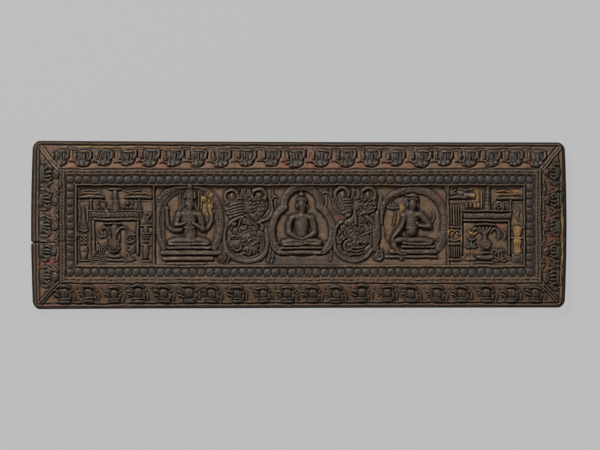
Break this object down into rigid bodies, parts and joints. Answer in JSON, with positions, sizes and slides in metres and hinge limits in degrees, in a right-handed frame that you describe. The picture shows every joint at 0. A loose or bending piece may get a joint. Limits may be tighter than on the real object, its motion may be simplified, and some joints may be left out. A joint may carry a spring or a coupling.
{
  "type": "tibetan manuscript cover",
  "caption": "Long carved wooden book cover board: three seated figures, leaf scrolls and altar panels inside a pearl row and a sloped scroll border.",
  "frame": {"origin": "centre of the plain inner face, on the surface the board lies on", "axes": "+X along the board's length, +Y towards the top of the carving, +Z out of the carved face"},
  "size_m": [0.671, 0.211, 0.0295],
  "materials": {
    "carved_wood": "dark worn wood with old pigment in the recesses and a soft hand-rubbed sheen on the high points"
  },
  "bodies": {
    "root": {"carved_cover": "carved_wood"}
  },
  "joints": []
}
